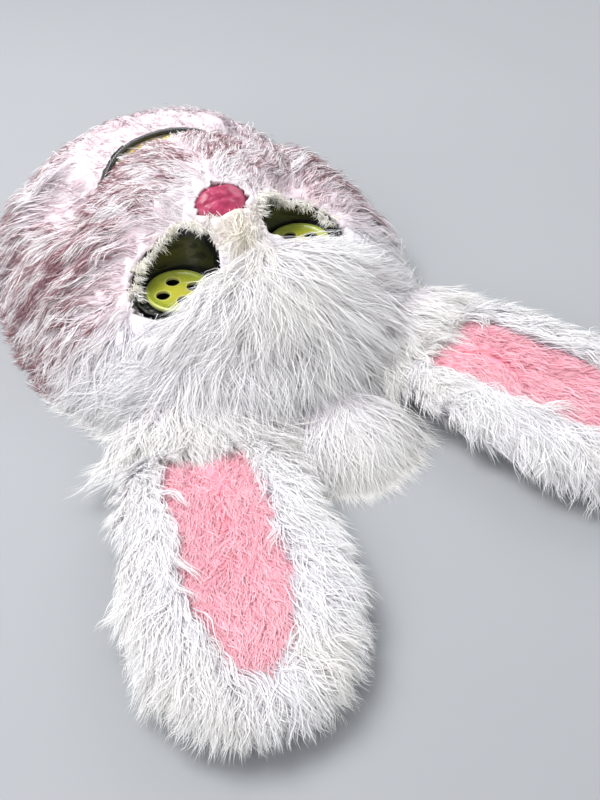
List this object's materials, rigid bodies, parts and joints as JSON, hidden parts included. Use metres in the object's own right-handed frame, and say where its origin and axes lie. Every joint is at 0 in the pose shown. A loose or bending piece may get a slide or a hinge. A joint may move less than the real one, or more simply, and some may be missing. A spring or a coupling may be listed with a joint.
{
  "type": "rabbit face mask",
  "caption": "Long-pile plush rabbit face mask with button eyes, a toothy grin and two bendable lined ears, held on by an elastic strap.",
  "frame": {"origin": "on the surface the mask lies on, under the middle of its overall box", "axes": "+Z out of the face, +Y towards the chin, -X towards the mask's own left"},
  "size_m": [0.3918, 0.5154, 0.1198],
  "materials": {
    "white_fur": "matte",
    "stained_fur": "matte",
    "pink_fur": "matte",
    "shell_plastic": "matte",
    "socket_vinyl": "gloss",
    "button_plastic": "satin",
    "nose_vinyl": "satin",
    "mouth_plastic": "gloss",
    "tooth_plastic": "satin",
    "lip_vinyl": "gloss",
    "batting": "matte",
    "wire_steel": "satin",
    "elastic_webbing": "matte",
    "strap_plastic": "satin",
    "rivet_steel": "satin",
    "foam": "matte",
    "binding_tape": "matte"
  },
  "bodies": {
    "head": {"face_shell": "shell_plastic", "eye_socket_left": "socket_vinyl", "eye_socket_right": "socket_vinyl", "button_eye_left": "button_plastic", "button_eye_right": "button_plastic", "nose": "nose_vinyl", "mouth_plate": "mouth_plastic", "teeth": "tooth_plastic", "lower_lip_bead": "lip_vinyl", "muzzle_fur": "stained_fur", "chin_fur": "stained_fur", "cheek_fur_left": "stained_fur", "cheek_fur_right": "stained_fur", "forehead_fur_left": "white_fur", "forehead_fur_right": "white_fur", "crown_fringe_fur": "white_fur", "ear_root_tab_left": "elastic_webbing", "ear_root_tab_right": "elastic_webbing", "elastic_strap": "elastic_webbing", "strap_anchor_left": "strap_plastic", "strap_anchor_right": "strap_plastic", "strap_rivet_left": "rivet_steel", "strap_rivet_right": "rivet_steel", "brow_pad": "foam", "chin_pad": "foam", "cheek_pad_left": "foam", "cheek_pad_right": "foam", "edge_binding": "binding_tape"},
    "ear_left": {"ear_back_fur_left": "white_fur", "ear_filling_left": "batting", "ear_front_fur_left": "white_fur", "ear_pink_panel_left": "pink_fur", "ear_wire_left": "wire_steel"},
    "ear_right": {"ear_back_fur_right": "white_fur", "ear_filling_right": "batting", "ear_front_fur_right": "white_fur", "ear_pink_panel_right": "pink_fur", "ear_wire_right": "wire_steel"},
    "slider": {"strap_slider": "strap_plastic"}
  },
  "joints": [
    {"name": "ear_left_fold", "type": "hinge", "parent": "head", "child": "ear_left", "pos_m": [-0.091, -0.06487, 0.022], "axis": [-0.9455, 0.3256, 0], "range_deg": [0, 90]},
    {"name": "ear_right_fold", "type": "hinge", "parent": "head", "child": "ear_right", "pos_m": [0.091, -0.06487, 0.022], "axis": [-0.9455, -0.3256, 0], "range_deg": [0, 90]},
    {"name": "slider_slide", "type": "slide", "parent": "head", "child": "slider", "axis": [1, 0, 0], "range_m": [-0.13, 0.05]}
  ]
}
